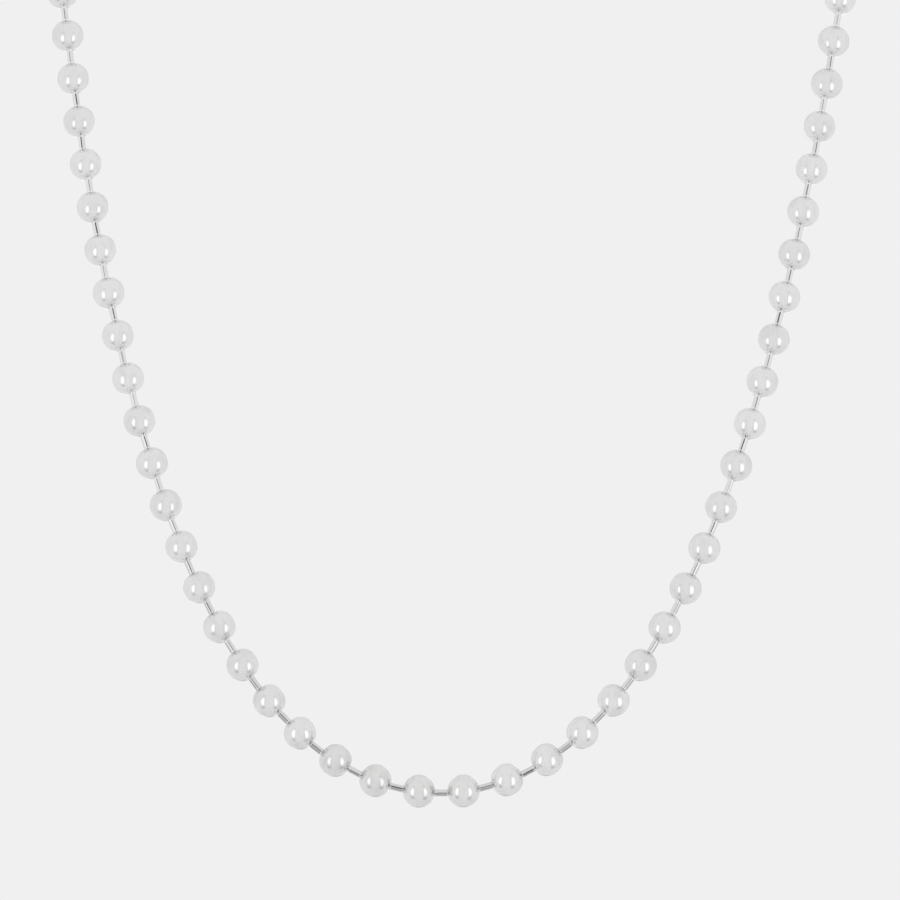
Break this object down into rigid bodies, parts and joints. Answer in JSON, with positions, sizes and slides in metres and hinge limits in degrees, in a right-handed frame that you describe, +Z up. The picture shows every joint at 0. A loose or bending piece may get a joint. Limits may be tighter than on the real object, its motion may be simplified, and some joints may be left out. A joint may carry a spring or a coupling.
{
  "type": "ball chain necklace",
  "caption": "Ball chain necklace in its worn form: hollow polished balls joined by short dumbbell bars, closed at the nape by a slotted sleeve.",
  "frame": {"origin": "middle of the chain at the nape, on the centre line of the balls and the clasp, where the neck carries the necklace", "axes": "+Z up, the front of the necklace faces -Y, +X towards the right as seen from the front"},
  "size_m": [0.133, 0.0926, 0.1653],
  "materials": {
    "ball_silver": "polished silver",
    "bar_silver": "drawn and polished silver",
    "clasp_silver": "polished silver sheet, bent to a sleeve"
  },
  "bodies": {
    "root": {"balls": "ball_silver", "link_bars": "bar_silver", "clasp": "clasp_silver"}
  },
  "joints": []
}
